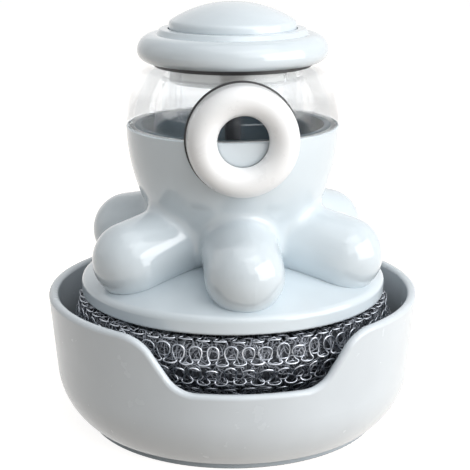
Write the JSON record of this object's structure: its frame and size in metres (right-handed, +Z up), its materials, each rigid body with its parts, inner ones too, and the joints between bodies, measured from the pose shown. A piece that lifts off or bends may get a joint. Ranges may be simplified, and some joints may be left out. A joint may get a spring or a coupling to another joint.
{
  "type": "soap-dispensing palm dish scrubber",
  "caption": "Palm dish scrubber shaped like an octopus: press-button cap over a clear soap reservoir, bulbous legs on a plate, knitted wire pad, standing in a notched drip tray.",
  "frame": {"origin": "on the table, under the middle of the drip tray", "axes": "+Z up along the brush's axis, -Y towards the front with the ring and the tray's notch, +X to the right seen from the front"},
  "size_m": [0.1004, 0.0992, 0.1137],
  "materials": {
    "tray_plastic": "smooth moulded, satin to glossy pale blue-grey",
    "body_plastic": "smooth moulded, glossy pale blue-grey",
    "ring_plastic": "smooth moulded, glossy white",
    "clear_plastic": "clear, faintly blue",
    "cup_plastic": "dark blue-grey",
    "natural_plastic": "milky white",
    "core_plastic": "pale grey",
    "rod_plastic": "charcoal",
    "bush_plastic": "tan",
    "black_rubber": "soft black",
    "valve_rubber": "translucent grey",
    "foot_rubber": "soft blue-grey",
    "wire_knit": "knitted flat steel wire, dark with bright glints",
    "steel": "bright wire and screws"
  },
  "bodies": {
    "tray": {"tray_bowl": "tray_plastic", "tray_foot_ring": "foot_rubber"},
    "brush": {"scrubber_pad": "wire_knit", "scrubber_core": "core_plastic", "base_plate": "body_plastic", "leg_screws": "steel", "body_shell": "body_plastic", "reservoir_cup": "cup_plastic", "outlet_seal": "black_rubber", "dome_seal": "valve_rubber", "reservoir_dome": "clear_plastic", "mouth_ring": "ring_plastic", "ring_pad": "black_rubber", "valve_seat": "natural_plastic", "valve_spring": "steel"},
    "valve": {"valve_stem": "rod_plastic", "valve_plug": "valve_rubber", "spring_keeper": "natural_plastic"},
    "cap": {"cap_gasket": "black_rubber", "filler_cap": "body_plastic", "cap_plug": "natural_plastic", "rod_bush": "bush_plastic", "rod_seal": "black_rubber", "button_spring": "steel"},
    "button": {"press_button": "body_plastic", "push_rod": "rod_plastic", "rod_clip": "steel"}
  },
  "joints": [
    {"name": "brush_lift", "type": "slide", "parent": "tray", "child": "brush", "axis": [0, 0, 1], "range_m": [0, 0.05]},
    {"name": "cap_lift", "type": "slide", "parent": "brush", "child": "cap", "axis": [0, 0, 1], "range_m": [0, 0.05]},
    {"name": "button_press", "type": "slide", "parent": "cap", "child": "button", "axis": [0, 0, -1], "range_m": [0, 0.004], "stiffness_N_per_m": 800, "springref_m": -0.003, "deforming": ["button_spring"]},
    {"name": "valve_open", "type": "slide", "parent": "brush", "child": "valve", "axis": [0, 0, -1], "range_m": [0, 0.004], "deforming": ["valve_spring"]}
  ],
  "couplings": [
    {"joint": "valve_open", "follows": "button_press", "ratio": 1}
  ]
}
